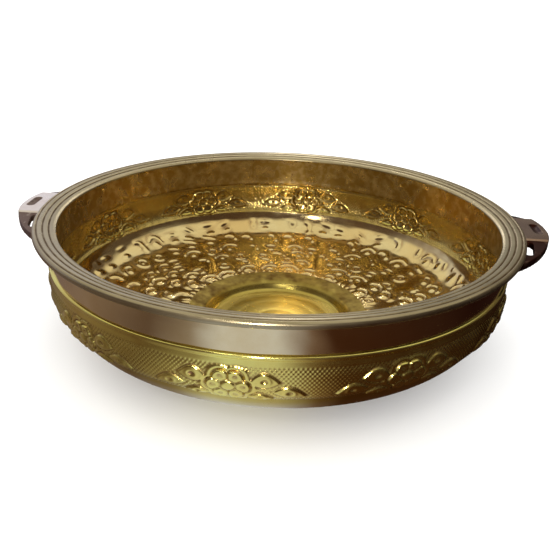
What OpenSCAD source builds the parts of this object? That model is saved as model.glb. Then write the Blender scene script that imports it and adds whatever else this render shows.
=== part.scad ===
// Brass urli bowl: a wide, shallow pan with an embossed belly, a plain neck,
// a heavy turned rim and two cast lug handles. Sizes are in millimetres,
// +Z is up and the origin is the middle of the face the bowl stands on.

/* [Rim ring] */

// radius of the rim over the rounded lip
rim_r = 150; // [120:1:190]
// width of the flat ring, lip to inner edge
rim_w = 13.6; // [12:0.2:18]
// thickness of the ring at the lip
rim_t = 4.2; // [3.6:0.1:6]
// how far the inner edge of the ring slopes down
rim_fall = 2.4; // [0.5:0.1:2.8]
// depth of the turned grooves
groove_d = 0.5; // [0.2:0.1:0.8]
// width of each turned groove
groove_w = 0.9; // [0.5:0.1:1.4]
// how many grooves the ring's top has
groove_count = 3; // [1:1:3]
// distance from one groove to the next
groove_gap = 3.4; // [2.8:0.1:3.5]

/* [Bowl] */

// height over everything, base to rim
bowl_h = 80; // [70:1:110]
// thickness of the spun sheet
sheet_t = 1.3; // [0.9:0.1:2]
// height of the plain neck under the ring
neck_h = 17.6; // [12:0.2:24]
// how far the neck reaches down inside the pan
lap_h = 4; // [2.5:0.5:6]
// how far the belly stands out past the neck
belly_out = 1.9; // [0.5:0.1:4]
// height of the embossed band
band_h = 27; // [20:0.5:32]

/* [Foot] */

// radius of the flat the bowl stands on
foot_r = 43; // [30:1:60]
// how far the foot drops below the floor
foot_drop = 7.4; // [5:0.2:12]

/* [Handles] */

// how far each handle stands out past the lip
lug_out = 16.5; // [10:0.5:26]
// half of the angle each handle takes up on the rim
lug_half = 17.5; // [16:0.5:24]
// thickness of the casting
lug_t = 5; // [4:0.2:8]
// how far the top of the handle lies below the rim top
lug_low = 3; // [2:0.2:4]
// half of the length of the level thumb pad
pad_half = 19; // [14:0.5:21]
// how far the wings beside the pad are sunk
wing_drop = 1.2; // [0.4:0.1:2]
// slope of the wings, millimetres down for each millimetre out
wing_fall = 0.16; // [0.05:0.01:0.3]
// length of each eye
eye_l = 15; // [10:0.5:18]
// width of each eye
eye_w = 6.4; // [4:0.2:8]
// how far each eye shows past the lip
eye_out = 4.8; // [3:0.2:6]
// length of the thumb dimple between its round ends
dimple_l = 12; // [6:0.5:16]

/* [Hidden] */

$fn = 160;
rim_in = rim_r - rim_w;
rim_under = bowl_h - rim_t;
neck_or = rim_r - 8.8;
neck_ir = neck_or - sheet_t;
neck_bot = rim_under - neck_h;
belly_r = neck_or + belly_out;
band_bot = neck_bot - band_h;
floor_z = foot_drop + sheet_t;
lap_bot = neck_bot - lap_h;
cast_c = ((rim_r + lug_out) * (rim_r + lug_out) - rim_r * rim_r)
    / (2 * ((rim_r + lug_out) - rim_r * cos(lug_half)));
cast_r = rim_r + lug_out - cast_c;
eye_mid = asin((pad_half + 1 + eye_l / 2) / rim_r);

// which piece to draw, or all of them

// ---- small helpers ----------------------------------------------------

// turn a list of [radius, height] points round the middle of the bowl
module turned(points) {
    rotate_extrude()
        polygon(points);
}

// height of the ring's sloping top at a radius, for the depth of a groove there
function rim_top_at(r) = bowl_h
    - rim_fall * pow(max(rim_r - 3 - r, 0) / (rim_w - 3), 1.4);

// one turned groove, cut straight down into the top of the ring
module groove(r) {
    translate([r, rim_top_at(r) + 0.2])
        circle(d = groove_w + 2 * groove_d, $fn = 32);
}

// ---- the pan: embossed belly, floor and pressed foot -------------------

// outer face, from the top edge down to the foot
function pan_out() = [
    [neck_or + 0.9, neck_bot],
    [neck_or + 1.5, neck_bot - 0.5],
    [neck_or + 1.7, neck_bot - 1.3],
    [neck_or + 1.5, neck_bot - 2.1],
    [neck_or + 0.9, neck_bot - 2.7],
    [neck_or + 1.0, neck_bot - 3.4],
    [belly_r - 0.5, neck_bot - 6],
    [belly_r, neck_bot - 9.5],
    [belly_r - 0.1, neck_bot - 13.5],
    [belly_r - 0.7, neck_bot - 18.5],
    [belly_r - 1.9, neck_bot - 22.5],
    [belly_r - 3.8, neck_bot - 25.4],
    [belly_r - 6.1, band_bot],
    [belly_r - 7.0, band_bot - 2.4],
    [belly_r - 9.4, band_bot - 6.0],
    [belly_r - 12.6, band_bot - 9.6],
    [belly_r - 16.8, band_bot - 12.8],
    [belly_r - 22.5, band_bot - 15.8],
    [belly_r - 31, foot_drop + 5.4],
    [belly_r - 43, foot_drop + 3.4],
    [belly_r - 58, foot_drop + 2.2],
    [belly_r - 74, foot_drop + 1.5],
    [foot_r + 9.6, foot_drop],
    [foot_r + 7.2, foot_drop - 0.7],
    [foot_r + 5.6, foot_drop - 2.0],
    [foot_r + 3.4, 1.6],
    [foot_r + 1.9, 0.4],
    [foot_r, 0]
];

// inner face, from the foot back up to the top edge
function pan_in() = [
    [foot_r - 0.6, sheet_t],
    [foot_r + 1.0, sheet_t + 0.3],
    [foot_r + 2.2, sheet_t + 1.2],
    [foot_r + 4.5, foot_drop - 1.2],
    [foot_r + 6.4, foot_drop + 0.5],
    [foot_r + 9.2, floor_z],
    [belly_r - 74, floor_z + 1.7],
    [belly_r - 58.2, floor_z + 2.3],
    [belly_r - 43.2, floor_z + 3.4],
    [belly_r - 31.4, floor_z + 5.4],
    [belly_r - 23.2, band_bot - 14.7],
    [belly_r - 17.7, band_bot - 11.9],
    [belly_r - 13.6, band_bot - 8.7],
    [belly_r - 10.6, band_bot - 5.3],
    [belly_r - 8.4, band_bot - 1.8],
    [belly_r - 7.4, band_bot + 0.5],
    [belly_r - 5.0, neck_bot - 24.9],
    [belly_r - 3.2, neck_bot - 22],
    [belly_r - 2.0, neck_bot - 18.3],
    [belly_r - 1.4, neck_bot - 13.5],
    [belly_r - 1.4, neck_bot - 9.4],
    [neck_or, neck_bot - 5.6],
    [neck_or, neck_bot]
];

module pan() {
    color([0.80, 0.62, 0.28])
        turned(concat([[0, 0]], [for (i = [len(pan_out()) - 1 : -1 : 0])
            pan_out()[i]], [for (i = [len(pan_in()) - 1 : -1 : 0])
            pan_in()[i]], [[0, sheet_t]]));
}

// ---- the plain neck, lapped inside the top of the pan -------------------

module neck_collar() {
    color([0.76, 0.58, 0.26])
        turned([
            [neck_ir, rim_under],
            [neck_or, rim_under],
            [neck_or, lap_bot],
            [neck_ir + 0.3, lap_bot],
            [neck_ir, lap_bot + 0.3]
        ]);
}

// ---- the turned rim ring ------------------------------------------------

module rim_ring() {
    color([0.84, 0.70, 0.40])
        rotate_extrude()
            difference() {
                union() {
                    polygon([
                        [rim_in + 0.5, rim_under + 0.2],
                        [rim_in + 1.4, rim_under],
                        [rim_r - 1.9, rim_under],
                        [rim_r - 0.9, bowl_h - rim_t * 0.55],
                        [rim_r - 0.5, bowl_h - 0.7],
                        [rim_r - 2.6, bowl_h],
                        [rim_r - 6.6, bowl_h - 0.1],
                        [rim_r - 9.4, bowl_h - 0.5],
                        [rim_r - 11.6, bowl_h - 0.5 * rim_fall - 0.1],
                        [rim_in + 0.4, bowl_h - rim_fall + 0.2],
                        [rim_in, bowl_h - rim_fall - 0.4],
                        [rim_in, rim_under + 0.7]
                    ]);
                    translate([rim_r - 1.9, bowl_h - rim_t * 0.55])
                        circle(r = 1.9, $fn = 48);
                    translate([rim_r - 2.3, rim_under + 0.9])
                        circle(r = 0.9, $fn = 24);
                }
                for (i = [0 : groove_count - 1])
                    groove(rim_r - 2.7 - i * groove_gap);
            }
}

// ---- one cast lug handle, on the +X side --------------------------------

// outline from above: a disc standing out past the lip, cut off at the neck
module lug_plan() {
    difference() {
        translate([cast_c, 0])
            circle(r = cast_r);
        circle(r = neck_or);
    }
}

// outline from the front: a level thumb pad with a lower wing sloping off each side
module lug_side() {
    top = bowl_h - lug_low;
    end = cast_r + 2;
    end_z = top - wing_drop - wing_fall * (end - pad_half);
    polygon([
        [-end, end_z],
        [-pad_half - 1, top - wing_drop],
        [-pad_half, top],
        [pad_half, top],
        [pad_half + 1, top - wing_drop],
        [end, end_z],
        [end, end_z - lug_t],
        [pad_half, top - lug_t],
        [-pad_half, top - lug_t],
        [-end, end_z - lug_t]
    ]);
}

// the long open eye beside the lip, on one side of the pad
module eye_plan(s) {
    rotate(s * eye_mid)
        translate([rim_r + eye_out - eye_w / 2, 0]) {
            square([eye_w, eye_l - eye_w], center = true);
            for (e = [-1, 1])
                translate([0, e * (eye_l - eye_w) / 2])
                    circle(d = eye_w, $fn = 48);
        }
}

// the oval hollow for the thumb
module thumb_dimple() {
    translate([rim_r + lug_out - 6.2, 0, bowl_h - lug_low + 0.9]) {
        for (y = [-dimple_l / 2, dimple_l / 2])
            translate([0, y, 0])
                sphere(r = 2.6, $fn = 32);
        translate([0, -dimple_l / 2, 0])
            rotate([-90, 0, 0])
                cylinder(r = 2.6, h = dimple_l, $fn = 32);
    }
}

module lug() {
    difference() {
        intersection() {
            linear_extrude(height = bowl_h)
                lug_plan();
            rotate([90, 0, 90])
                linear_extrude(height = 2 * rim_r)
                    lug_side();
        }
        translate([0, 0, rim_under])
            cylinder(r = rim_r, h = rim_t + 1);
        for (s = [-1, 1])
            translate([0, 0, -1])
                linear_extrude(height = bowl_h + 2)
                    eye_plan(s);
        thumb_dimple();
    }
}

module handle_right() {
    color([0.78, 0.60, 0.30])
        lug();
}

module handle_left() {
    color([0.78, 0.60, 0.30])
        rotate([0, 0, 180])
            lug();
}

// ---- drawing ----------------------------------------------------------------

pan();
neck_collar();
rim_ring();
handle_left();
handle_right();
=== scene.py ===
import math
import bpy
import numpy as np
from mathutils import Matrix, Vector


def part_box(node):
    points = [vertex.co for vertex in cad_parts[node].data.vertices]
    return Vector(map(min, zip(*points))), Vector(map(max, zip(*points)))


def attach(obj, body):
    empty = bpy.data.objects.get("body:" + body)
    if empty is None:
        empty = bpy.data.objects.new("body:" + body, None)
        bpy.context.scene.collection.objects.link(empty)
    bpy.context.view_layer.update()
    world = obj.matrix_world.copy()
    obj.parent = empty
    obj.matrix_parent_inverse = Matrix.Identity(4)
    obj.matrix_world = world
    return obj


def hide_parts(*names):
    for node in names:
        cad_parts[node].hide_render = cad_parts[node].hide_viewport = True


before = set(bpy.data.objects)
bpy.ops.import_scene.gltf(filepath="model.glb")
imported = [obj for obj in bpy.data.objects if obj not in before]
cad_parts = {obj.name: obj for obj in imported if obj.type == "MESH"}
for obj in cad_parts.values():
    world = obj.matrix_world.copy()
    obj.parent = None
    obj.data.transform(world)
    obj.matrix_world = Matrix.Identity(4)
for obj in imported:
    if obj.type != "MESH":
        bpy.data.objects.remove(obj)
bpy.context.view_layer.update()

# ---------------------------------------------------------------------------
# The pan's flowered band, outer face.
# The pan is beaten from one sheet of brass. Its side is worked over pitch into a band of ten
# six-petalled flowers with three leaves on either hand, and the ground is matted with a small punch.
# ---------------------------------------------------------------------------
mm = 0.001
pan_low, pan_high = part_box("pan")
neck_low, neck_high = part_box("neck_collar")
belly_r = pan_high.x / mm
band_top = pan_high.z / mm
neck_r = neck_high.x / mm
band_drop = 27
band_face_steps = 1600
band_skin = 0.6
face_reach = 0.02
tarnish_depth = 0.22
tarnish_span = 3


def through(points, spacing):
    """A smooth line of (radius, height) steps that passes through the given points."""
    points = np.array(points, float)
    gaps = np.linalg.norm(np.diff(points, axis=0), axis=1)
    at = np.concatenate([[0], np.cumsum(gaps)])
    lean = np.gradient(points, at, axis=0)
    steps = np.linspace(0, at[-1], round(at[-1] / spacing) + 1)
    leg = np.clip(np.searchsorted(at, steps, side="right") - 1, 0, len(gaps) - 1)
    gap = gaps[leg][:, None]
    way = (steps[:, None] - at[leg][:, None]) / gap
    start = (1 + 2 * way) * (1 - way) ** 2 * points[leg] + way * (1 - way) ** 2 * gap * lean[leg]
    end = way * way * (3 - 2 * way) * points[leg + 1]
    return start + end + way * way * (way - 1) * gap * lean[leg + 1]


def line_normals(line):
    """Unit normals to the left of a line, one for each of its points."""
    along = np.gradient(line, axis=0)
    along /= np.linalg.norm(along, axis=1)[:, None]
    return np.column_stack([-along[:, 1], along[:, 0]])


def skin(line, depth, back_every):
    """Closes a line into the outline of a thin sheet, with a coarser back set off from its face."""
    back = line + depth * line_normals(line)
    return np.vstack([line, back[::-back_every]])


def turned(name, outline, steps):
    """A closed outline of (radius, height) points turned once round the bowl's axis."""
    bpy.ops.object.select_all(action="DESELECT")
    bpy.ops.mesh.primitive_circle_add(vertices=len(outline), radius=belly_r * mm)
    piece = bpy.context.object
    piece.name = name
    for vertex, (r, z) in zip(piece.data.vertices, outline):
        vertex.co = (r * mm, 0, z * mm)
    lathe = piece.modifiers.new("lathe", "SCREW")
    lathe.steps = steps
    lathe.render_steps = steps
    lathe.use_merge_vertices = True
    lathe.merge_threshold = 1e-6
    bpy.ops.object.modifier_apply(modifier="lathe")
    bpy.ops.object.mode_set(mode="EDIT")
    bpy.ops.mesh.select_all(action="SELECT")
    bpy.ops.mesh.remove_doubles(threshold=1e-6)
    bpy.ops.mesh.normals_make_consistent(inside=False)
    bpy.ops.object.mode_set(mode="OBJECT")
    return piece


def smooth_faces(piece, angle):
    """Smooth shading, with edges sharper than the angle left crisp."""
    bpy.ops.object.select_all(action="DESELECT")
    piece.select_set(True)
    bpy.context.view_layer.objects.active = piece
    bpy.ops.object.shade_smooth_by_angle(angle=math.radians(angle))


def hollow_values(piece):
    """A piece's 'hollow' values, one for each point, which say how dark it is made there: tarnish in worked
    hollows, and painted shade on some faces.
    """
    return piece.data.attributes.get("hollow") or piece.data.attributes.new("hollow", "FLOAT", "POINT")


def press(piece, line, side, height):
    """Works a pattern into the face that lies on the line, raised to the given side of it.
    The pattern is height(turn, up, r) in millimetres, where up is the way along the sheet from the
    line's lower end. The lines and pits that hold tarnish are marked as 'hollow'."""
    count = len(piece.data.vertices)
    co = np.empty(count * 3)
    piece.data.vertices.foreach_get("co", co)
    co = co.reshape(-1, 3) / mm
    r = np.hypot(co[:, 0], co[:, 1])
    turn = np.arctan2(co[:, 1], co[:, 0])
    nearest = np.zeros(count, int)
    best = np.full(count, np.inf)
    for i, (line_r, line_z) in enumerate(line):
        gap = (r - line_r) ** 2 + (co[:, 2] - line_z) ** 2
        closer = gap < best
        nearest[closer] = i
        best[closer] = gap[closer]
    face = best < face_reach ** 2
    lengths = np.linalg.norm(np.diff(line, axis=0), axis=1)
    up = np.concatenate([np.cumsum(lengths[::-1])[::-1], [0]])
    normal = side * line_normals(line)[nearest]
    worked = np.zeros(count)
    worked[face] = height(turn[face], up[nearest[face]], r[face])
    co[:, 0] += worked * normal[:, 0] * np.cos(turn)
    co[:, 1] += worked * normal[:, 0] * np.sin(turn)
    co[:, 2] += worked * normal[:, 1]
    piece.data.vertices.foreach_set("co", (co * mm).ravel())
    on_face = np.flatnonzero(face)
    grid = on_face[np.lexsort((turn[on_face], nearest[on_face]))].reshape(len(line), -1)
    around = worked[grid]
    shifts = range(-tarnish_span, tarnish_span + 1)
    for axis in (0, 1):
        around = sum(np.roll(around, shift, axis) for shift in shifts) / len(shifts)
    hollow = np.zeros(count, np.float32)
    hollow[grid] = np.clip((around - worked[grid]) / tarnish_depth, 0, 1)
    kept = hollow_values(piece)
    before = np.empty(count, np.float32)
    kept.data.foreach_get("value", before)
    kept.data.foreach_set("value", np.maximum(before, hollow))
    piece.data.update()


def rise(x):
    """A soft step from 0 to 1 while x goes from 0 to 1."""
    x = np.clip(x, 0, 1)
    return x * x * (3 - 2 * x)


def ridge(x, width):
    """A soft ridge of height 1 along x = 0."""
    return np.exp(-(x / width) ** 2)


flowers = 10
flower_turn = math.radians(264.6)
flower_up = 11.6
petal_r = 11.2
petal_squash = 1.18
petal_rise = 0.60
petal_roll = 0.25
petal_cut = 0.80
petal_parting = 0.90
petal_pit = 0.60
petal_seed = 0.38
swelling = 0.34
boss_r = 3.3
boss_rise = 0.9
boss_groove = 0.75
leaf_bow = 1.1
leaf_rise = 0.50
leaf_roll = 0.22
leaf_eye_ring = 0.42
leaf_eye_pit = 0.50
leaf_cut = 0.62
plain_edge = 3.2
punch_pitch = 2.5
punch_depth = 0.25
leaves = [
    ((10.4, -3.0), (25.6, -3.4), 4.4),
    ((21.5, 2.4), (38.5, 4.8), 3.5),
    ((8.6, 6.8), (23.0, 7.6), 2.4),
]


def leaf(beside, below, root, tip, half_width):
    """One pointed leaf between its root and its tip, with a rolled edge and an eye in the middle.
    Returns its height and a mask of the space that it takes."""
    axis = np.subtract(tip, root)
    length = np.hypot(*axis)
    axis = axis / length
    share = ((beside - root[0]) * axis[0] + (below - root[1]) * axis[1]) / length
    off = (below - root[1]) * axis[0] - (beside - root[0]) * axis[1]
    off = off + leaf_bow * np.sin(np.pi * np.clip(share, 0, 1))
    inset = half_width * np.sin(np.pi * np.clip(share, 0, 1) ** 0.9) - np.abs(off)
    near = (share > -0.06) & (share < 1.06)
    inside = rise(inset / 1.5) * near
    eye = np.hypot((share - 0.48) * length / 2.5, off / (0.42 * half_width))
    height = leaf_rise * inside + leaf_roll * ridge(inset - 0.8, 0.5) * near
    height += inside * (leaf_eye_ring * ridge(eye - 1.0, 0.36) - leaf_eye_pit * ridge(eye, 0.6))
    height -= leaf_cut * ridge(inset + 0.30, 0.45) * near
    return height, rise((inset + 1.3) / 0.9) * near


def flower(beside, below):
    """One flower of six petals round a domed boss, in a soft swelling of the ground."""
    r = np.hypot(beside, below * petal_squash)
    turn = np.arctan2(-below * petal_squash, beside)
    petal = np.abs(np.cos(3 * turn))
    edge = petal_r * (0.78 + 0.22 * petal ** 0.75)
    off_axis = r * np.sin(np.arccos(np.clip(petal, 0, 1)) / 3)
    between = r * np.sin((np.pi / 2 - np.arccos(np.clip(petal, 0, 1))) / 3)
    inset = edge - r
    inside = rise(inset / 1.3)
    height = petal_rise * inside + swelling * ridge(inset + 1.9, 1.7) * (1 - inside)
    height += petal_roll * ridge(inset - 1.2, 0.6)
    height -= petal_cut * ridge(inset + 0.1, 0.5)
    height -= petal_parting * ridge(between, 0.55) * inside * rise((r - boss_r) / 1.2)
    pit = np.hypot((r - 0.64 * petal_r) / 2.1, off_axis / 1.5)
    height -= inside * petal_pit * ridge(pit, 0.85)
    height += inside * petal_seed * ridge(pit, 0.36)
    height -= boss_groove * ridge(r - boss_r - 0.55, 0.6)
    dome = np.sqrt(np.clip(1 - (r / boss_r) ** 2, 0, 1))
    height = np.where(r < boss_r, 0.1 + boss_rise * dome, height)
    return height, rise((inset + 3.9) / 1.8)


def band_pattern(turn, up, r):
    """The whole band's relief: flowers and leaves on a matted ground, plain towards its two edges."""
    pitch = 2 * math.pi / flowers
    local = (turn - flower_turn + pitch / 2) % pitch - pitch / 2
    beside = local * belly_r
    below = flower_up - up
    height, taken = flower(beside, below)
    for root, tip, half_width in leaves:
        for side in (1, -1):
            leaf_height, leaf_taken = leaf(side * beside, below, root, tip, half_width)
            height = np.where(leaf_taken > taken, leaf_height, height)
            taken = np.maximum(taken, leaf_taken)
    punches = band_face_steps / 4 * turn
    rows = 2 * np.pi * up / punch_pitch
    one_way, other_way = (rise(0.5 + 0.5 * np.cos(punches + lean * rows)) for lean in (1, -1))
    ground = -punch_depth * (one_way + other_way)
    edges = rise((band_drop - plain_edge - up) / 1.6) * rise(up / 1.2)
    return edges * (height * taken + ground * (1 - taken))


band_line = through([
    (neck_r - 0.2, band_top + 0.5),
    (neck_r + 0.9, band_top),
    (neck_r + 1.5, band_top - 0.5),
    (neck_r + 1.7, band_top - 1.3),
    (neck_r + 1.5, band_top - 2.1),
    (neck_r + 0.9, band_top - 2.8),
    (neck_r + 1.0, band_top - 3.4),
    (belly_r - 0.5, band_top - 6.0),
    (belly_r, band_top - 9.5),
    (belly_r - 0.1, band_top - 13.5),
    (belly_r - 0.7, band_top - 18.5),
    (belly_r - 1.9, band_top - 22.5),
    (belly_r - 3.8, band_top - 25.4),
    (belly_r - 6.1, band_top - band_drop),
], 0.56)
band_outside = turned("pan_band_outside", skin(band_line, -band_skin, 11), band_face_steps)
press(band_outside, band_line, 1, band_pattern)
smooth_faces(band_outside, 70)


def group_io(group, inputs, outputs):
    """Gives a shader group its named inputs and outputs, and returns its two end nodes."""
    for name, kind, value in inputs:
        socket = group.interface.new_socket(name, in_out="INPUT", socket_type=kind)
        socket.default_value = value
    for name, kind in outputs:
        group.interface.new_socket(name, in_out="OUTPUT", socket_type=kind)
    return group.nodes.new("NodeGroupInput"), group.nodes.new("NodeGroupOutput")


def wire(tree, kind, links=(), **settings):
    """Adds one node, sets its properties, and joins sockets or values to its inputs."""
    node = tree.nodes.new(kind)
    for key, value in settings.items():
        setattr(node, key, value)
    for name, source in dict(links).items():
        if hasattr(source, "is_output"):
            tree.links.new(source, node.inputs[name])
        else:
            node.inputs[name].default_value = source
    return node


def make_brass_tone():
    """Group: the patchy colour of polished brass that has stood in a room, darker where the 'hollow' values
    say: tarnish in worked hollows, and painted shade and painted reflection on the faces that some pieces
    mark.
    """
    group = bpy.data.node_groups.new("brass_tone", "ShaderNodeTree")
    inside, out = group_io(group, [
        ("Bright", "NodeSocketColor", (0.90, 0.71, 0.36, 1)),
        ("Warm", "NodeSocketColor", (0.80, 0.55, 0.22, 1)),
        ("Tarnish", "NodeSocketColor", (0.34, 0.20, 0.08, 1)),
        ("Patch Size", "NodeSocketFloat", 22.0),
        ("Tarnish Share", "NodeSocketFloat", 1.5),
    ], [("Colour", "NodeSocketColor"), ("Tarnish And Painted Shade Mask", "NodeSocketFloat")])
    place = wire(group, "ShaderNodeTexCoord").outputs["Object"]
    patches = wire(group, "ShaderNodeTexNoise", {
        "Vector": place, "Scale": inside.outputs["Patch Size"], "Detail": 5.0, "Roughness": 0.62})
    patch_mask = wire(group, "ShaderNodeMapRange", {
        0: patches.outputs["Fac"], 1: 0.38, 2: 0.66, 3: 0.0, 4: 1.0})
    base = wire(group, "ShaderNodeMix", {
        0: patch_mask.outputs[0], 6: inside.outputs["Bright"], 7: inside.outputs["Warm"]},
        data_type="RGBA")
    hollow = wire(group, "ShaderNodeAttribute", attribute_name="hollow").outputs["Fac"]
    tarnish_and_shade_patchiness = wire(group, "ShaderNodeTexNoise", {"Vector": place, "Scale": 160.0, "Detail": 3.0})
    uneven = wire(group, "ShaderNodeMath", {
        0: tarnish_and_shade_patchiness.outputs["Fac"], 1: inside.outputs["Tarnish Share"]}, operation="MULTIPLY")
    tarnish_and_painted_shade = wire(group, "ShaderNodeMath", {0: hollow, 1: uneven.outputs[0]},
                operation="MULTIPLY", use_clamp=True)
    # The Tarnish colour mixed in here is tarnish on some pieces, and painted shade and painted reflection on
    # others.
    colour = wire(group, "ShaderNodeMix", {
        0: tarnish_and_painted_shade.outputs[0], 6: base.outputs[2], 7: inside.outputs["Tarnish"]}, data_type="RGBA")
    group.links.new(colour.outputs[2], out.inputs["Colour"])
    group.links.new(tarnish_and_painted_shade.outputs[0], out.inputs["Tarnish And Painted Shade Mask"])
    return group


def make_hand_polish():
    """Group: the uneven shine and the fine crossing scratches that hand polishing leaves."""
    group = bpy.data.node_groups.new("hand_polish", "ShaderNodeTree")
    inside, out = group_io(group, [
        ("Shine", "NodeSocketFloat", 0.10),
        ("Dull Spots", "NodeSocketFloat", 0.12),
        ("Scratch Size", "NodeSocketFloat", 420.0),
    ], [("Roughness", "NodeSocketFloat"), ("Height", "NodeSocketFloat")])
    place = wire(group, "ShaderNodeTexCoord").outputs["Object"]
    haze = wire(group, "ShaderNodeTexNoise", {"Vector": place, "Scale": 48.0, "Detail": 6.0})
    spots = wire(group, "ShaderNodeMapRange", {0: haze.outputs["Fac"], 1: 0.42, 2: 0.78, 3: 0.0, 4: 1.0})
    rough = wire(group, "ShaderNodeMath", {
        0: spots.outputs[0], 1: inside.outputs["Dull Spots"], 2: inside.outputs["Shine"]},
        operation="MULTIPLY_ADD")
    stretch = wire(group, "ShaderNodeMapping", {"Vector": place, "Scale": (1.0, 1.0, 6.0)})
    scratches = wire(group, "ShaderNodeTexNoise", {
        "Vector": stretch.outputs["Vector"], "Scale": inside.outputs["Scratch Size"],
        "Detail": 2.0, "Distortion": 1.5})
    group.links.new(rough.outputs[0], out.inputs["Roughness"])
    group.links.new(scratches.outputs["Fac"], out.inputs["Height"])
    return group


def radius_from(tree, axes):
    """The distance from the bowl's axis, out of separated axes."""
    flat = wire(tree, "ShaderNodeCombineXYZ", {"X": axes.outputs["X"], "Y": axes.outputs["Y"]})
    return wire(tree, "ShaderNodeVectorMath", {0: flat.outputs[0]}, operation="LENGTH").outputs["Value"]


def make_lathe_marks():
    """Group: fine rings round the bowl's axis, as a scraper or polishing rag leaves on a turned face."""
    group = bpy.data.node_groups.new("lathe_marks", "ShaderNodeTree")
    inside, out = group_io(group, [("Ring Pitch", "NodeSocketFloat", 0.0011)],
                           [("Height", "NodeSocketFloat")])
    place = wire(group, "ShaderNodeTexCoord").outputs["Object"]
    axes = wire(group, "ShaderNodeSeparateXYZ", {"Vector": place})
    slant = wire(group, "ShaderNodeMath", {0: radius_from(group, axes), 1: axes.outputs["Z"]},
                 operation="ADD")
    count = wire(group, "ShaderNodeMath", {0: slant.outputs[0], 1: inside.outputs["Ring Pitch"]},
                 operation="DIVIDE")
    rings = wire(group, "ShaderNodeTexNoise", {"W": count.outputs[0], "Scale": 1.0, "Detail": 2.0},
                 noise_dimensions="1D")
    group.links.new(rings.outputs["Fac"], out.inputs["Height"])
    return group


brass_tone = make_brass_tone()
hand_polish = make_hand_polish()
lathe_marks = make_lathe_marks()
tarnish_dulling = 0.25


def brass(name, tone, polish, rings, ring_height, scratch_height):
    """A brass finish put together from the shared groups, with its own values for each."""
    material = bpy.data.materials.new(name)
    material.use_nodes = True
    tree = material.node_tree
    shader = tree.nodes["Principled BSDF"]
    shader.inputs["Metallic"].default_value = 1.0
    colour = wire(tree, "ShaderNodeGroup", tone, node_tree=brass_tone)
    shine = wire(tree, "ShaderNodeGroup", polish, node_tree=hand_polish)
    turning = wire(tree, "ShaderNodeGroup", {"Ring Pitch": rings}, node_tree=lathe_marks)
    dulled = wire(tree, "ShaderNodeMath", {
        0: colour.outputs["Tarnish And Painted Shade Mask"], 1: tarnish_dulling, 2: shine.outputs["Roughness"]},
        operation="MULTIPLY_ADD")
    fine = wire(tree, "ShaderNodeBump", {
        "Height": shine.outputs["Height"], "Distance": scratch_height, "Strength": 1.0})
    ringed = wire(tree, "ShaderNodeBump", {
        "Height": turning.outputs["Height"], "Distance": ring_height, "Strength": 1.0,
        "Normal": fine.outputs["Normal"]})
    tree.links.new(colour.outputs["Colour"], shader.inputs["Base Color"])
    tree.links.new(dulled.outputs[0], shader.inputs["Roughness"])
    tree.links.new(ringed.outputs["Normal"], shader.inputs["Normal"])
    return material


def finish_piece(piece, material, node):
    """Gives a piece its finish, hangs it under the root body and hides the frame's part that it replaces."""
    piece.data.materials.clear()
    piece.data.materials.append(material)
    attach(piece, "root")
    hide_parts(node)


embossed_brass = brass(
    "embossed_brass",
    {"Bright": (0.88, 0.79, 0.22, 1), "Warm": (0.80, 0.60, 0.14, 1)},
    {"Shine": 0.14, "Dull Spots": 0.12},
    rings=0.0011, ring_height=0.000004, scratch_height=0.000006)
finish_piece(band_outside, embossed_brass, "pan")

# ---------------------------------------------------------------------------
# The pan's flowered band, inner face.
# The same sheet seen from inside, where the flowers and leaves show in reverse as shallow hollows.
# ---------------------------------------------------------------------------
band_back_steps = 1320
reverse_of_raised = -0.5
reverse_of_cut = -1.9


def band_reverse(turn, up, r):
    """The outer pattern as the inside shows it: raised shapes turn into shallow hollows, and the
    lines cut round them stand up as ridges."""
    pushed = band_pattern(turn, up, r)
    return np.where(pushed > 0, reverse_of_raised * pushed, reverse_of_cut * pushed)


inner_line = through([
    (neck_r, band_top),
    (neck_r, band_top - 5.6),
    (belly_r - 1.4, band_top - 9.4),
    (belly_r - 1.4, band_top - 13.5),
    (belly_r - 2.0, band_top - 18.3),
    (belly_r - 3.2, band_top - 22.0),
    (belly_r - 5.0, band_top - 24.9),
    (belly_r - 7.4, band_top - 26.5),
], 0.55)
band_inside = turned("pan_band_inside", skin(inner_line, 0.7, 9), band_back_steps)
press(band_inside, inner_line, -1, band_reverse)
smooth_faces(band_inside, 70)
# The inner face gets a darker copy of the pan's brass, with a darker tarnish colour: painted shade of the
# bowl's inside.
inside_brass_painted_shade = brass(
    "inside_brass_painted_shade",
    {"Bright": (0.70, 0.54, 0.18, 1), "Warm": (0.50, 0.34, 0.08, 1), "Tarnish": (0.20, 0.11, 0.03, 1)},
    {"Shine": 0.12, "Dull Spots": 0.10},
    rings=0.0011, ring_height=0.000004, scratch_height=0.000006)
finish_piece(band_inside, inside_brass_painted_shade, "pan")

# ---------------------------------------------------------------------------
# The pan's floor, inner face.
# A dished floor of the same sheet, chased all over by hand with curled, eyed and comma-shaped
# punches in wavering rows, from the well's plain ring out to the ledge under the flowered band.
# ---------------------------------------------------------------------------
foot_drop = 7.4
foot_r = 43
floor_top = foot_drop + 1.3
floor_steps = 980
plain_ring_r = foot_r + 17
ledge_r = belly_r - 7.4
ledge_top = band_top - 26.5
floor_points = [
    (ledge_r, ledge_top),
    (belly_r - 8.4, band_top - band_drop - 1.8),
    (belly_r - 10.6, band_top - band_drop - 5.3),
    (belly_r - 13.6, band_top - band_drop - 8.7),
    (belly_r - 17.7, band_top - band_drop - 11.9),
    (belly_r - 23.2, band_top - band_drop - 14.7),
    (belly_r - 31.4, floor_top + 5.4),
    (belly_r - 43.2, floor_top + 3.4),
    (belly_r - 58.2, floor_top + 2.3),
    (belly_r - 74.0, floor_top + 1.7),
    (plain_ring_r, floor_top + 1.25),
]
first_row_r = plain_ring_r + 6
last_row_r = ledge_r - 4
row_gap = 12.4
mark_gap = 16.5
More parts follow.
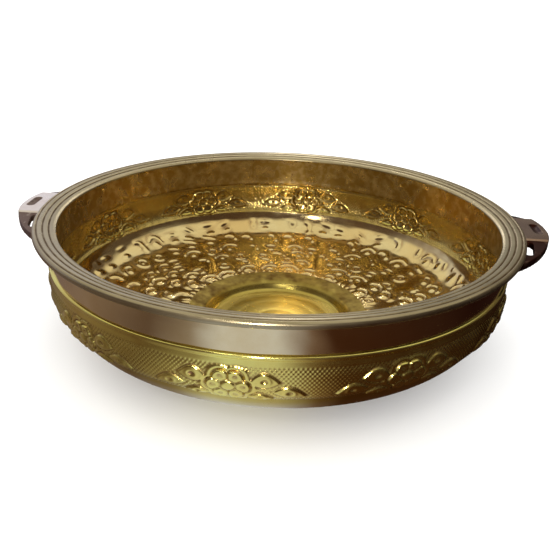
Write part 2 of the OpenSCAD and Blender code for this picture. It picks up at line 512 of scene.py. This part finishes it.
mark_reach = 13
mark_kinds = ["eye", "comma", "ring", "pair"]
shares_by_well = [0.66, 0.14, 0.06, 0.14]
shares_gained = [-0.34, 0.14, 0.12, 0.08]
edge_strokes = 76
wave_height = 0.16
chaser = np.random.default_rng(7)


def arc_mark(a, b, radius, width, sweep):
    """A curled stroke: an arc that is widest at its middle and thins out to both ends."""
    turn = np.arctan2(a, b)
    gap = np.hypot(a, b) - radius
    share = np.clip(1 - (turn / sweep) ** 2, 0, 1)
    return ridge(gap, width * (0.25 + 0.75 * share)) * rise(share * 2.5)


def drop_mark(a, b, length, width):
    """A round-ended drop."""
    return ridge(np.hypot(a / length, b / width), 0.8)


def comma_mark(a, b, size):
    """A drop with a thinning, curling tail."""
    turn = np.arctan2(b, a)
    gap = np.hypot(a, b) - size
    share = np.clip(1 - np.abs(turn - 0.9) / 1.3, 0, 1)
    tail = ridge(gap, 0.4 + 1.2 * share) * rise(share * 3)
    return np.maximum(tail, drop_mark(a - size, b, 1.9, 2.1))


def floor_marks():
    """Every punched mark on the floor as (x, y, angle, kind, size), in rows round the well."""
    marks = []
    rows = np.arange(first_row_r, last_row_r, row_gap)
    for row, row_r in enumerate(rows):
        count = round(2 * math.pi * row_r / mark_gap)
        far_out = row / (len(rows) - 1)
        shares = [share + gained * far_out for share, gained in zip(shares_by_well, shares_gained)]
        for i in range(count):
            turn = 2 * math.pi * (i + 0.5 * (row % 2) + chaser.uniform(-0.17, 0.17)) / count
            r = row_r + chaser.uniform(-1.7, 1.7) + 1.6 * math.sin(5 * turn + row)
            kind = chaser.choice(mark_kinds, p=shares)
            lean = turn - math.pi / 2 + chaser.uniform(-0.45, 0.45)
            size = chaser.uniform(0.95, 1.36)
            marks.append((r * math.cos(turn), r * math.sin(turn), lean, kind, size))
    for i in range(edge_strokes):
        turn = 2 * math.pi * (i + chaser.uniform(-0.25, 0.25)) / edge_strokes
        r = plain_ring_r + 1.8 + chaser.uniform(-0.8, 0.9)
        marks.append((r * math.cos(turn), r * math.sin(turn), turn, "stroke", 1.0))
    return marks


def floor_pattern(turn, up, r):
    """Height of the chased floor: every mark's shape, over the slow waves that the hammer left."""
    x, y = r * np.cos(turn), r * np.sin(turn)
    height = np.zeros(len(x))
    for mark_x, mark_y, lean, kind, size in floor_marks():
        near = np.flatnonzero((np.abs(x - mark_x) < mark_reach) & (np.abs(y - mark_y) < mark_reach))
        dx, dy = (x[near] - mark_x) / size, (y[near] - mark_y) / size
        a = dx * math.cos(lean) + dy * math.sin(lean)
        b = -dx * math.sin(lean) + dy * math.cos(lean)
        if kind == "eye":
            mark = 0.95 * arc_mark(a, b + 2.2, 6.6, 1.6, 1.25)
            mark += 0.90 * drop_mark(a, b + 0.4, 3.4, 2.9)
        elif kind == "comma":
            mark = 0.90 * comma_mark(a, b, 4.2)
        elif kind == "ring":
            mark = 0.75 * ridge(np.hypot(a, b) - 3.4, 1.1) + 0.6 * drop_mark(a, b, 1.3, 1.3)
        elif kind == "pair":
            mark = 0.90 * drop_mark(a + 0.3 * b, b - 3.0, 4.6, 1.5)
            mark += 0.85 * drop_mark(a - 0.3 * b, b + 2.2, 3.2, 1.7)
        else:
            mark = 0.6 * drop_mark(a, b, 3.0, 0.9)
        height[near] = np.where(np.abs(mark) > np.abs(height[near]), mark, height[near])
    waves = wave_height * np.sin(x / 9 + 1.3 * np.sin(y / 13)) * np.sin(y / 8 + 1.1 * np.sin(x / 11))
    return (height + waves) * rise((r - plain_ring_r + 0.5) / 2) * rise((ledge_r - 2.2 - r) / 2)


floor_line = through(floor_points, 0.9)
pan_floor = turned("pan_floor", skin(floor_line, 0.55, 12), floor_steps)
press(pan_floor, floor_line, -1, floor_pattern)
smooth_faces(pan_floor, 70)
chased_brass = brass(
    "chased_brass",
    {"Bright": (0.90, 0.73, 0.36, 1), "Warm": (0.84, 0.60, 0.24, 1)},
    {"Shine": 0.08, "Dull Spots": 0.10},
    rings=0.0011, ring_height=0.000003, scratch_height=0.000004)
finish_piece(pan_floor, chased_brass, "pan")

# ---------------------------------------------------------------------------
# The pan's well and foot.
# The middle of the sheet is sunk into a round well, whose flat underside is the foot that the bowl
# stands on. The well is scraped and polished on a lathe, which leaves three faint rings on its floor.
# ---------------------------------------------------------------------------
well_steps = 360
well_rings = [14, 27, 36]
ring_half = 0.5
ring_depth = 0.03
well_floor = 1.3
wall_darkening = 0.9
corner_darkening = 0.5
well_outline = list(through([
    (plain_ring_r, floor_top + 1.25),
    (foot_r + 12, floor_top + 0.45),
    (foot_r + 9.2, floor_top),
    (foot_r + 7.9, floor_top - 0.25),
    (foot_r + 6.4, foot_drop + 0.5),
    (foot_r + 4.9, foot_drop - 0.9),
    (foot_r + 3.4, foot_drop - 3.2),
    (foot_r + 2.2, 2.5),
    (foot_r + 1.0, 1.6),
    (foot_r - 0.6, well_floor),
], 0.6))
for ring_r in reversed(well_rings):
    well_outline += [
        (ring_r + ring_half, well_floor), (ring_r, well_floor - ring_depth), (ring_r - ring_half, well_floor)]
well_outline += [(6, well_floor), (1.2, well_floor), (0.7, well_floor - 0.15), (0.0, well_floor - 0.2)]
well_outline += [(0.0, 0.0), (20, 0.0), (foot_r - 0.8, 0.0)]
well_outline += list(through([
    (foot_r, 0.0),
    (foot_r + 1.9, 0.4),
    (foot_r + 3.4, 1.6),
    (foot_r + 5.6, foot_drop - 2.0),
    (foot_r + 7.2, foot_drop - 0.7),
    (foot_r + 9.6, foot_drop),
    (plain_ring_r, foot_drop + 1.05),
], 0.8))
pan_well = turned("pan_well_and_foot", np.array(well_outline), well_steps)


def mark_hollow(piece, amount):
    """Sets how dark each point of a piece is made, for tarnish and for painted shade, from amount(x, y, z) in
    millimetres.
    """
    for vertex, mark in zip(piece.data.vertices, hollow_values(piece).data):
        mark.value = amount(*(value / mm for value in vertex.co))


def well_darkening(x, y, z):
    """The well's wall and plain ring are made darker, and a dark line lies round its floor."""
    past_foot = math.hypot(x, y) - foot_r
    wall = wall_darkening * float(rise((past_foot - 3.0) / 4.0))
    return wall + corner_darkening * math.exp(-(past_foot / 1.2) ** 2)


mark_hollow(pan_well, well_darkening)
smooth_faces(pan_well, 50)
turned_brass = brass(
    "turned_brass",
    {"Bright": (0.62, 0.49, 0.12, 1), "Warm": (0.50, 0.36, 0.07, 1), "Tarnish": (0.16, 0.09, 0.02, 1)},
    {"Shine": 0.22, "Dull Spots": 0.10},
    rings=0.0009, ring_height=0.000005, scratch_height=0.000003)
finish_piece(pan_well, turned_brass, "pan")

# ---------------------------------------------------------------------------
# The pan's underside.
# Below the flowered band the sheet turns under in a plain polished curve to the foot. It is only
# planished, so it has the faint flats of the hammer and no pattern.
# ---------------------------------------------------------------------------
under_steps = 480
under_points = [
    (belly_r - 6.1, band_top - band_drop),
    (belly_r - 7.0, band_top - band_drop - 2.4),
    (belly_r - 9.4, band_top - band_drop - 6.0),
    (belly_r - 12.6, band_top - band_drop - 9.6),
    (belly_r - 16.8, band_top - band_drop - 12.8),
    (belly_r - 22.5, band_top - band_drop - 15.8),
    (belly_r - 31.0, foot_drop + 5.4),
    (belly_r - 43.0, foot_drop + 3.4),
    (belly_r - 58.0, foot_drop + 2.2),
    (belly_r - 74.0, foot_drop + 1.5),
    (plain_ring_r, foot_drop + 1.05),
]


def hammer_flats(turn, up, r):
    """Shallow overlapping dents in rows, left by planishing."""
    row = up / 9
    along = turn * 60 + np.pi * np.floor(row)
    dents = -0.035 * np.abs(np.sin(along / 2)) * np.abs(np.sin(np.pi * row))
    return dents * rise((belly_r - 8 - r) / 6) * rise((r - plain_ring_r) / 6)


under_line = through(under_points, 1.5)
underside = turned("pan_underside", skin(under_line, -0.5, 4), under_steps)
press(underside, under_line, 1, hammer_flats)
smooth_faces(underside, 50)
finish_piece(underside, turned_brass, "pan")

# ---------------------------------------------------------------------------
# The neck collar.
# A plain upright strip of brass sheet, closed into a tube, dropped inside the pan's beaded edge and
# brazed to it below and to the rim ring above. Its faces are burnished and a little wavy.
# ---------------------------------------------------------------------------
neck_steps = 480
neck_top = neck_high.z / mm
neck_bottom = neck_low.z / mm
collar_t = 1.3
fillet = 0.9
inner_painted_shade = 0.85


def neck_waves(turn, up, r):
    """The slight in and out that is left in a strip bent and burnished by hand."""
    wave = 0.09 * np.sin(11 * turn + 0.7 * np.sin(3 * turn)) * np.sin(up / 5)
    wave += 0.05 * np.sin(23 * turn + up / 4) + 0.04 * np.sin(41 * turn - up / 3)
    return wave


neck_outer = through([
    (neck_r, neck_bottom),
    (neck_r, band_top + 0.6),
    (neck_r, neck_top - 8),
    (neck_r, neck_top - 2.2),
    (neck_r + 0.25, neck_top - 0.8),
    (neck_r + fillet, neck_top),
], 0.9)
neck_inner = through([
    (neck_r - collar_t, neck_top),
    (neck_r - collar_t, neck_top - 6),
    (neck_r - collar_t, band_top),
    (neck_r - collar_t, neck_bottom + 0.6),
    (neck_r - collar_t + 0.5, neck_bottom),
], 0.9)
neck = turned("neck_collar_strip", np.vstack([neck_outer, neck_inner]), neck_steps)
press(neck, neck_inner, 1, neck_waves)
press(neck, neck_outer, 1, neck_waves)


def neck_inner_painted_shade(x, y, z):
    """The collar's inner face is painted darker, as painted shade of the bowl's inside, and its outer face is
    kept bright.
    """
    return inner_painted_shade if math.hypot(x, y) < neck_r - collar_t / 2 else 0.0


mark_hollow(neck, neck_inner_painted_shade)
smooth_faces(neck, 50)
burnished_brass = brass(
    "burnished_brass",
    {"Bright": (0.89, 0.74, 0.44, 1), "Warm": (0.82, 0.64, 0.34, 1), "Patch Size": 30.0,
     "Tarnish": (0.32, 0.20, 0.05, 1), "Tarnish Share": 2.0},
    {"Shine": 0.07, "Dull Spots": 0.12},
    rings=0.0014, ring_height=0.000010, scratch_height=0.000003)
finish_piece(neck, burnished_brass, "neck_collar")

# ---------------------------------------------------------------------------
# The rim ring.
# A flat ring cast in brass and turned: three fine lines cut in its sloping top, a rounded lip
# outside the last of them, and a softened inner edge. It sits on the neck and is brazed there.
# ---------------------------------------------------------------------------
rim_steps = 600
rim_low, rim_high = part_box("rim_ring")
rim_r = rim_high.x / mm
rim_top = rim_high.z / mm
rim_bottom = rim_low.z / mm
rim_w = 13.6
rim_fall = 2.4
rim_flat = 3
line_radii = [rim_r - inset for inset in (2.7, 6.2, 9.6)]
line_depth = 0.55
line_w = 0.42
stain_w = 0.5
top_points = 44
lip_r = 1.95
lip_parts = 12
edge_parts = 6
inner_r = rim_r - rim_w


def rim_height(r):
    """Height of the ring's top face, which is level by the lip and falls towards the opening."""
    slope = max(rim_r - rim_flat - r, 0) / (rim_w - rim_flat)
    return rim_top - rim_fall * slope ** 1.4


rim_outline = []
middle = (rim_top + rim_bottom) / 2
for step in range(lip_parts + 1):
    turn = math.pi / 2 - math.pi * step / lip_parts
    rim_outline.append((rim_r - lip_r + lip_r * math.cos(turn),
                        middle + (rim_top - rim_bottom) / 2 * math.sin(turn)))
rim_outline += [(rim_r - 5, rim_bottom), (neck_r + 1.0, rim_bottom), (neck_r - 2.2, rim_bottom)]
half = (rim_height(inner_r) - rim_bottom) / 2
for step in range(edge_parts + 1):
    turn = -math.pi / 2 - math.pi * step / edge_parts
    rim_outline.append((inner_r + half + half * math.cos(turn), rim_bottom + half + half * math.sin(turn)))
top_line = []
for r in np.linspace(inner_r + 1.4, rim_r - lip_r - 0.1, top_points):
    cut = sum(math.exp(-((r - at) / line_w) ** 2) for at in line_radii)
    top_line.append((r, rim_height(r) - line_depth * cut))
rim = turned("rim_ring_turned", np.array(rim_outline + top_line), rim_steps)


def rim_tarnish(x, y, z):
    """The turned lines in the ring's top hold tarnish."""
    on_top = z > rim_bottom + 1.0
    return on_top * max(math.exp(-((math.hypot(x, y) - at) / stain_w) ** 2) for at in line_radii)


mark_hollow(rim, rim_tarnish)
smooth_faces(rim, 60)
rim_brass = brass(
    "rim_brass",
    {"Bright": (0.44, 0.36, 0.21, 1), "Warm": (0.36, 0.29, 0.16, 1), "Patch Size": 26.0,
     "Tarnish": (0.13, 0.08, 0.035, 1), "Tarnish Share": 2.2},
    {"Shine": 0.27, "Dull Spots": 0.10},
    rings=0.0006, ring_height=0.000014, scratch_height=0.000003)
finish_piece(rim, rim_brass, "rim_ring")

# ---------------------------------------------------------------------------
# The two handles.
# Lugs cast in brass, brazed to the neck under the rim. Each has a polished pad with an oval dimple for
# the thumb, and on either side a darker lower wing with a long eye beside the rim. The left handle is
# painted pale grey and the right one dark brown, as painted reflection of the room, and the dimple is
# painted dark as painted reflection.
# ---------------------------------------------------------------------------
handle_grain = 0.45 * mm
pad_half = 19
pad_top = rim_top - 3
dimple_out = 10.3
dimple_half = 6
dimple_r = 2.7
dimple_painted_reflection = 0.8
# Both handles are the same cast brass, but the left one gets pale grey tones and the right one near-black
# brown tones: painted reflection of the room's bright and dark sides.
left_handle_painted_reflection_pale = brass(
    "handle_left_pale_painted_reflection_brass",
    {"Bright": (0.88, 0.82, 0.74, 1), "Warm": (0.72, 0.60, 0.50, 1), "Patch Size": 34.0,
     "Tarnish": (0.20, 0.14, 0.12, 1), "Tarnish Share": 2.4},
    {"Shine": 0.24, "Dull Spots": 0.16, "Scratch Size": 300.0},
    rings=0.0012, ring_height=0.000002, scratch_height=0.000008)
right_handle_painted_reflection_dark = brass(
    "handle_right_dark_painted_reflection_brass",
    {"Bright": (0.38, 0.26, 0.18, 1), "Warm": (0.26, 0.15, 0.09, 1), "Patch Size": 34.0,
     "Tarnish": (0.035, 0.010, 0.006, 1), "Tarnish Share": 2.4},
    {"Shine": 0.20, "Dull Spots": 0.14, "Scratch Size": 300.0},
    rings=0.0012, ring_height=0.000002, scratch_height=0.000008)


def handle_darkening(x, y, z):
    """The wings and all that lies below the pad are made dark; the thumb dimple is made dark as painted
    reflection.
    """
    x, y = abs(x), abs(y)
    wing = rise((y - pad_half + 0.2) / 0.8) * rise((pad_top - 0.7 - z) / 0.3)
    # The dimple's dark is painted reflection.
    dimple = math.hypot(x - rim_r - dimple_out, max(y - dimple_half, 0)) < dimple_r
    below = z < pad_top - 2.0
    return max(float(wing), dimple_painted_reflection * dimple, float(below))


def cast_handle(node):
    """A handle with its sharp edges filed round, from a copy of the frame's own solid."""
    bpy.ops.object.select_all(action="DESELECT")
    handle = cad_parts[node].copy()
    handle.data = handle.data.copy()
    for key in list(handle.keys()):
        del handle[key]
    handle.parent = None
    handle.name = node + "_casting"
    bpy.context.scene.collection.objects.link(handle)
    handle.hide_render = False
    handle.hide_viewport = False
    handle.select_set(True)
    bpy.context.view_layer.objects.active = handle
    bpy.ops.object.mode_set(mode="EDIT")
    bpy.ops.mesh.select_all(action="SELECT")
    bpy.ops.mesh.remove_doubles(threshold=1e-6)
    bpy.ops.object.mode_set(mode="OBJECT")
    remesh = handle.modifiers.new("even_faces", "REMESH")
    remesh.mode = "VOXEL"
    remesh.voxel_size = handle_grain
    bpy.ops.object.modifier_apply(modifier="even_faces")
    filed = handle.modifiers.new("filed_edges", "SMOOTH")
    filed.factor = 0.6
    filed.iterations = 7
    bpy.ops.object.modifier_apply(modifier="filed_edges")
    mark_hollow(handle, handle_darkening)
    smooth_faces(handle, 80)
    return handle


for side_node, side_painted_brass in (("handle_left", left_handle_painted_reflection_pale), ("handle_right", right_handle_painted_reflection_dark)):
    finish_piece(cast_handle(side_node), side_painted_brass, side_node)

# ---------------------------------------------------------------------------
# The table and the room.
# A plain pale floor under soft light. The brass mirrors what is round it, and to the brass alone the floor
# glows with a painted reflection, light in front and dark to the right; the room is bright behind.
# ---------------------------------------------------------------------------
bpy.ops.object.select_all(action="DESELECT")
bpy.ops.mesh.primitive_circle_add(vertices=96, radius=9, fill_type="NGON", location=(0, 0, -0.0002))
table = bpy.context.object
table.name = "pale_floor"
bpy.ops.object.transform_apply(location=True)
table_look = bpy.data.materials.new("pale_floor")
table_look.use_nodes = True
top_tree = table_look.node_tree
top_tree.nodes.clear()
pale = wire(top_tree, "ShaderNodeBsdfDiffuse", {"Color": (0.86, 0.855, 0.845, 1)})


def bearing_ramp(tree, direction, stops):
    """A colour for each bearing round the bowl, from a list of (place, colour) stops that starts
    and ends behind it and has the front at 0.5. Returns the direction's axes and the colour."""
    axes = wire(tree, "ShaderNodeSeparateXYZ", {"Vector": direction})
    toward = wire(tree, "ShaderNodeMath", {0: axes.outputs["Y"], 1: -1.0}, operation="MULTIPLY")
    bearing = wire(tree, "ShaderNodeMath", {0: axes.outputs["X"], 1: toward.outputs[0]},
                   operation="ARCTAN2")
    share = wire(tree, "ShaderNodeMath", {0: bearing.outputs[0], 1: 1 / (2 * math.pi), 2: 0.5},
                 operation="MULTIPLY_ADD")
    ramp = wire(tree, "ShaderNodeValToRGB", {"Fac": share.outputs[0]})
    elements = ramp.color_ramp.elements
    while len(elements) > 1:
        elements.remove(elements[-1])
    elements[0].position, elements[0].color = stops[0][0], (*stops[0][1], 1)
    for place, colour in stops[1:]:
        elements.new(place).color = (*colour, 1)
    return axes, ramp.outputs["Color"]


# To glossy rays the floor glows with a painted reflection of a table top, light in front and dark to the
# right. Camera rays and other rays see the plain pale floor.
spot = wire(top_tree, "ShaderNodeTexCoord").outputs["Object"]
spot_axes, painted_tabletop_reflection = bearing_ramp(top_tree, spot, [
    (0.00, (0.12, 0.08, 0.06)),
    (0.20, (0.16, 0.11, 0.10)),
    (0.31, (0.22, 0.17, 0.15)),
    (0.39, (0.11, 0.075, 0.06)),
    (0.435, (0.26, 0.23, 0.22)),
    (0.462, (0.60, 0.65, 0.78)),
    (0.51, (0.58, 0.62, 0.74)),
    (0.54, (0.16, 0.11, 0.09)),
    (0.56, (0.05, 0.02, 0.01)),
    (0.72, (0.015, 0.005, 0.004)),
    (0.90, (0.02, 0.010, 0.008)),
    (1.00, (0.12, 0.08, 0.06)),
])
# The painted reflection is made a little brighter next to the bowl.
near_r = 0.15
clear_r = 0.24
painted_glow_near_strength = 1.15
painted_glow_near_bowl = wire(top_tree, "ShaderNodeMapRange", {
    0: radius_from(top_tree, spot_axes), 1: near_r, 2: clear_r, 3: painted_glow_near_strength, 4: 1.0},
    interpolation_type="SMOOTHSTEP")
painted_reflection_glow = wire(top_tree, "ShaderNodeEmission", {
    "Color": painted_tabletop_reflection, "Strength": painted_glow_near_bowl.outputs[0]})
path = wire(top_tree, "ShaderNodeLightPath")
choose = wire(top_tree, "ShaderNodeMixShader", {
    0: path.outputs["Is Glossy Ray"], 1: pale.outputs[0], 2: painted_reflection_glow.outputs[0]})
wire(top_tree, "ShaderNodeOutputMaterial", {"Surface": choose.outputs[0]})
table.data.materials.append(table_look)

room = bpy.data.worlds.new("room")
bpy.context.scene.world = room
room.use_nodes = True
sky = room.node_tree
sky.nodes.clear()
ray = wire(sky, "ShaderNodeTexCoord").outputs["Generated"]
ray_axes, walls = bearing_ramp(sky, ray, [
    (0.00, (0.46, 0.46, 0.47)),
    (0.06, (0.85, 0.86, 0.98)),
    (0.20, (0.45, 0.45, 0.55)),
    (0.30, (0.10, 0.07, 0.06)),
    (0.50, (0.08, 0.05, 0.04)),
    (0.70, (0.06, 0.04, 0.03)),
    (0.86, (0.10, 0.08, 0.07)),
    (0.93, (0.15, 0.12, 0.11)),
    (0.95, (0.24, 0.22, 0.21)),
    (0.98, (0.42, 0.42, 0.41)),
    (1.00, (0.46, 0.46, 0.47)),
])
front_drop = 0.42
ceiling_from = 0.46
ceiling_to = 0.60
ceiling_colour = (0.74, 0.72, 0.64, 1)
room_light = (1.60, 1.60, 1.60, 1)
frontward = wire(sky, "ShaderNodeMath", {0: ray_axes.outputs["Y"], 1: 0.0}, operation="MINIMUM")
lowered = wire(sky, "ShaderNodeMath", {0: frontward.outputs[0], 1: front_drop, 2: ray_axes.outputs["Z"]},
               operation="MULTIPLY_ADD")
overhead = wire(sky, "ShaderNodeMapRange", {
    0: lowered.outputs[0], 1: ceiling_from, 2: ceiling_to, 3: 0.0, 4: 1.0})
ceiling = wire(sky, "ShaderNodeMix", {0: overhead.outputs[0], 6: walls, 7: ceiling_colour}, data_type="RGBA")
room_path = wire(sky, "ShaderNodeLightPath")
shown = wire(sky, "ShaderNodeMix", {
    0: room_path.outputs["Is Glossy Ray"], 6: room_light, 7: ceiling.outputs[2]},
    data_type="RGBA")
air = wire(sky, "ShaderNodeBackground", {"Color": shown.outputs[2], "Strength": 1.0})
wire(sky, "ShaderNodeOutputWorld", {"Surface": air.outputs[0]})


def softbox(name, place, aim, size, power):
    """A rectangular light turned to face a point."""
    data = bpy.data.lights.new(name, "AREA")
    data.shape = "RECTANGLE"
    data.size, data.size_y = size
    data.energy = power
    light = bpy.data.objects.new(name, data)
    bpy.context.scene.collection.objects.link(light)
    light.location = place
    light.rotation_euler = (Vector(aim) - Vector(place)).to_track_quat("-Z", "Y").to_euler()


softbox("window", (-0.055, 1.6, 0.85), (0, 0, 0.03), (0.045, 0.9), 1.5)
softbox("front_window", (-0.10, -1.5, 0.62), (0, 0, 0.05), (0.06, 0.6), 12.0)
softbox("lamp", (-0.35, -0.9, 0.9), (0, 0, 0.04), (0.12, 0.12), 0.5)

# ---------------------------------------------------------------------------
# The camera.
# It stands a little to the right of the bowl's own front, looking down into the opening.
# ---------------------------------------------------------------------------
camera_data = bpy.data.cameras.new("camera")
camera_turn = 3.5
camera_data.lens = 42.9
camera_data.sensor_width = 36
camera_data.clip_start = 0.02
camera = bpy.data.objects.new("camera", camera_data)
bpy.context.scene.collection.objects.link(camera)
bowl_turn = Matrix.Rotation(math.radians(camera_turn), 3, "Z")
rim_half = rim_r * mm
stand = bowl_turn @ (rim_half * Vector((0, -2.6933, 0.9209)))
look = bowl_turn @ Vector((0.002965, 0.907377, -0.420308))
camera_right = bowl_turn @ Vector((0.999382, 0.012037, 0.033036))
camera_up = camera_right.cross(look)
camera.matrix_world = Matrix((
    (camera_right.x, camera_up.x, -look.x, stand.x),
    (camera_right.y, camera_up.y, -look.y, stand.y),
    (camera_right.z, camera_up.z, -look.z, stand.z + rim_top * mm),
    (0, 0, 0, 1)))
bpy.context.scene.camera = camera
bpy.context.scene.view_settings.view_transform = "Standard"
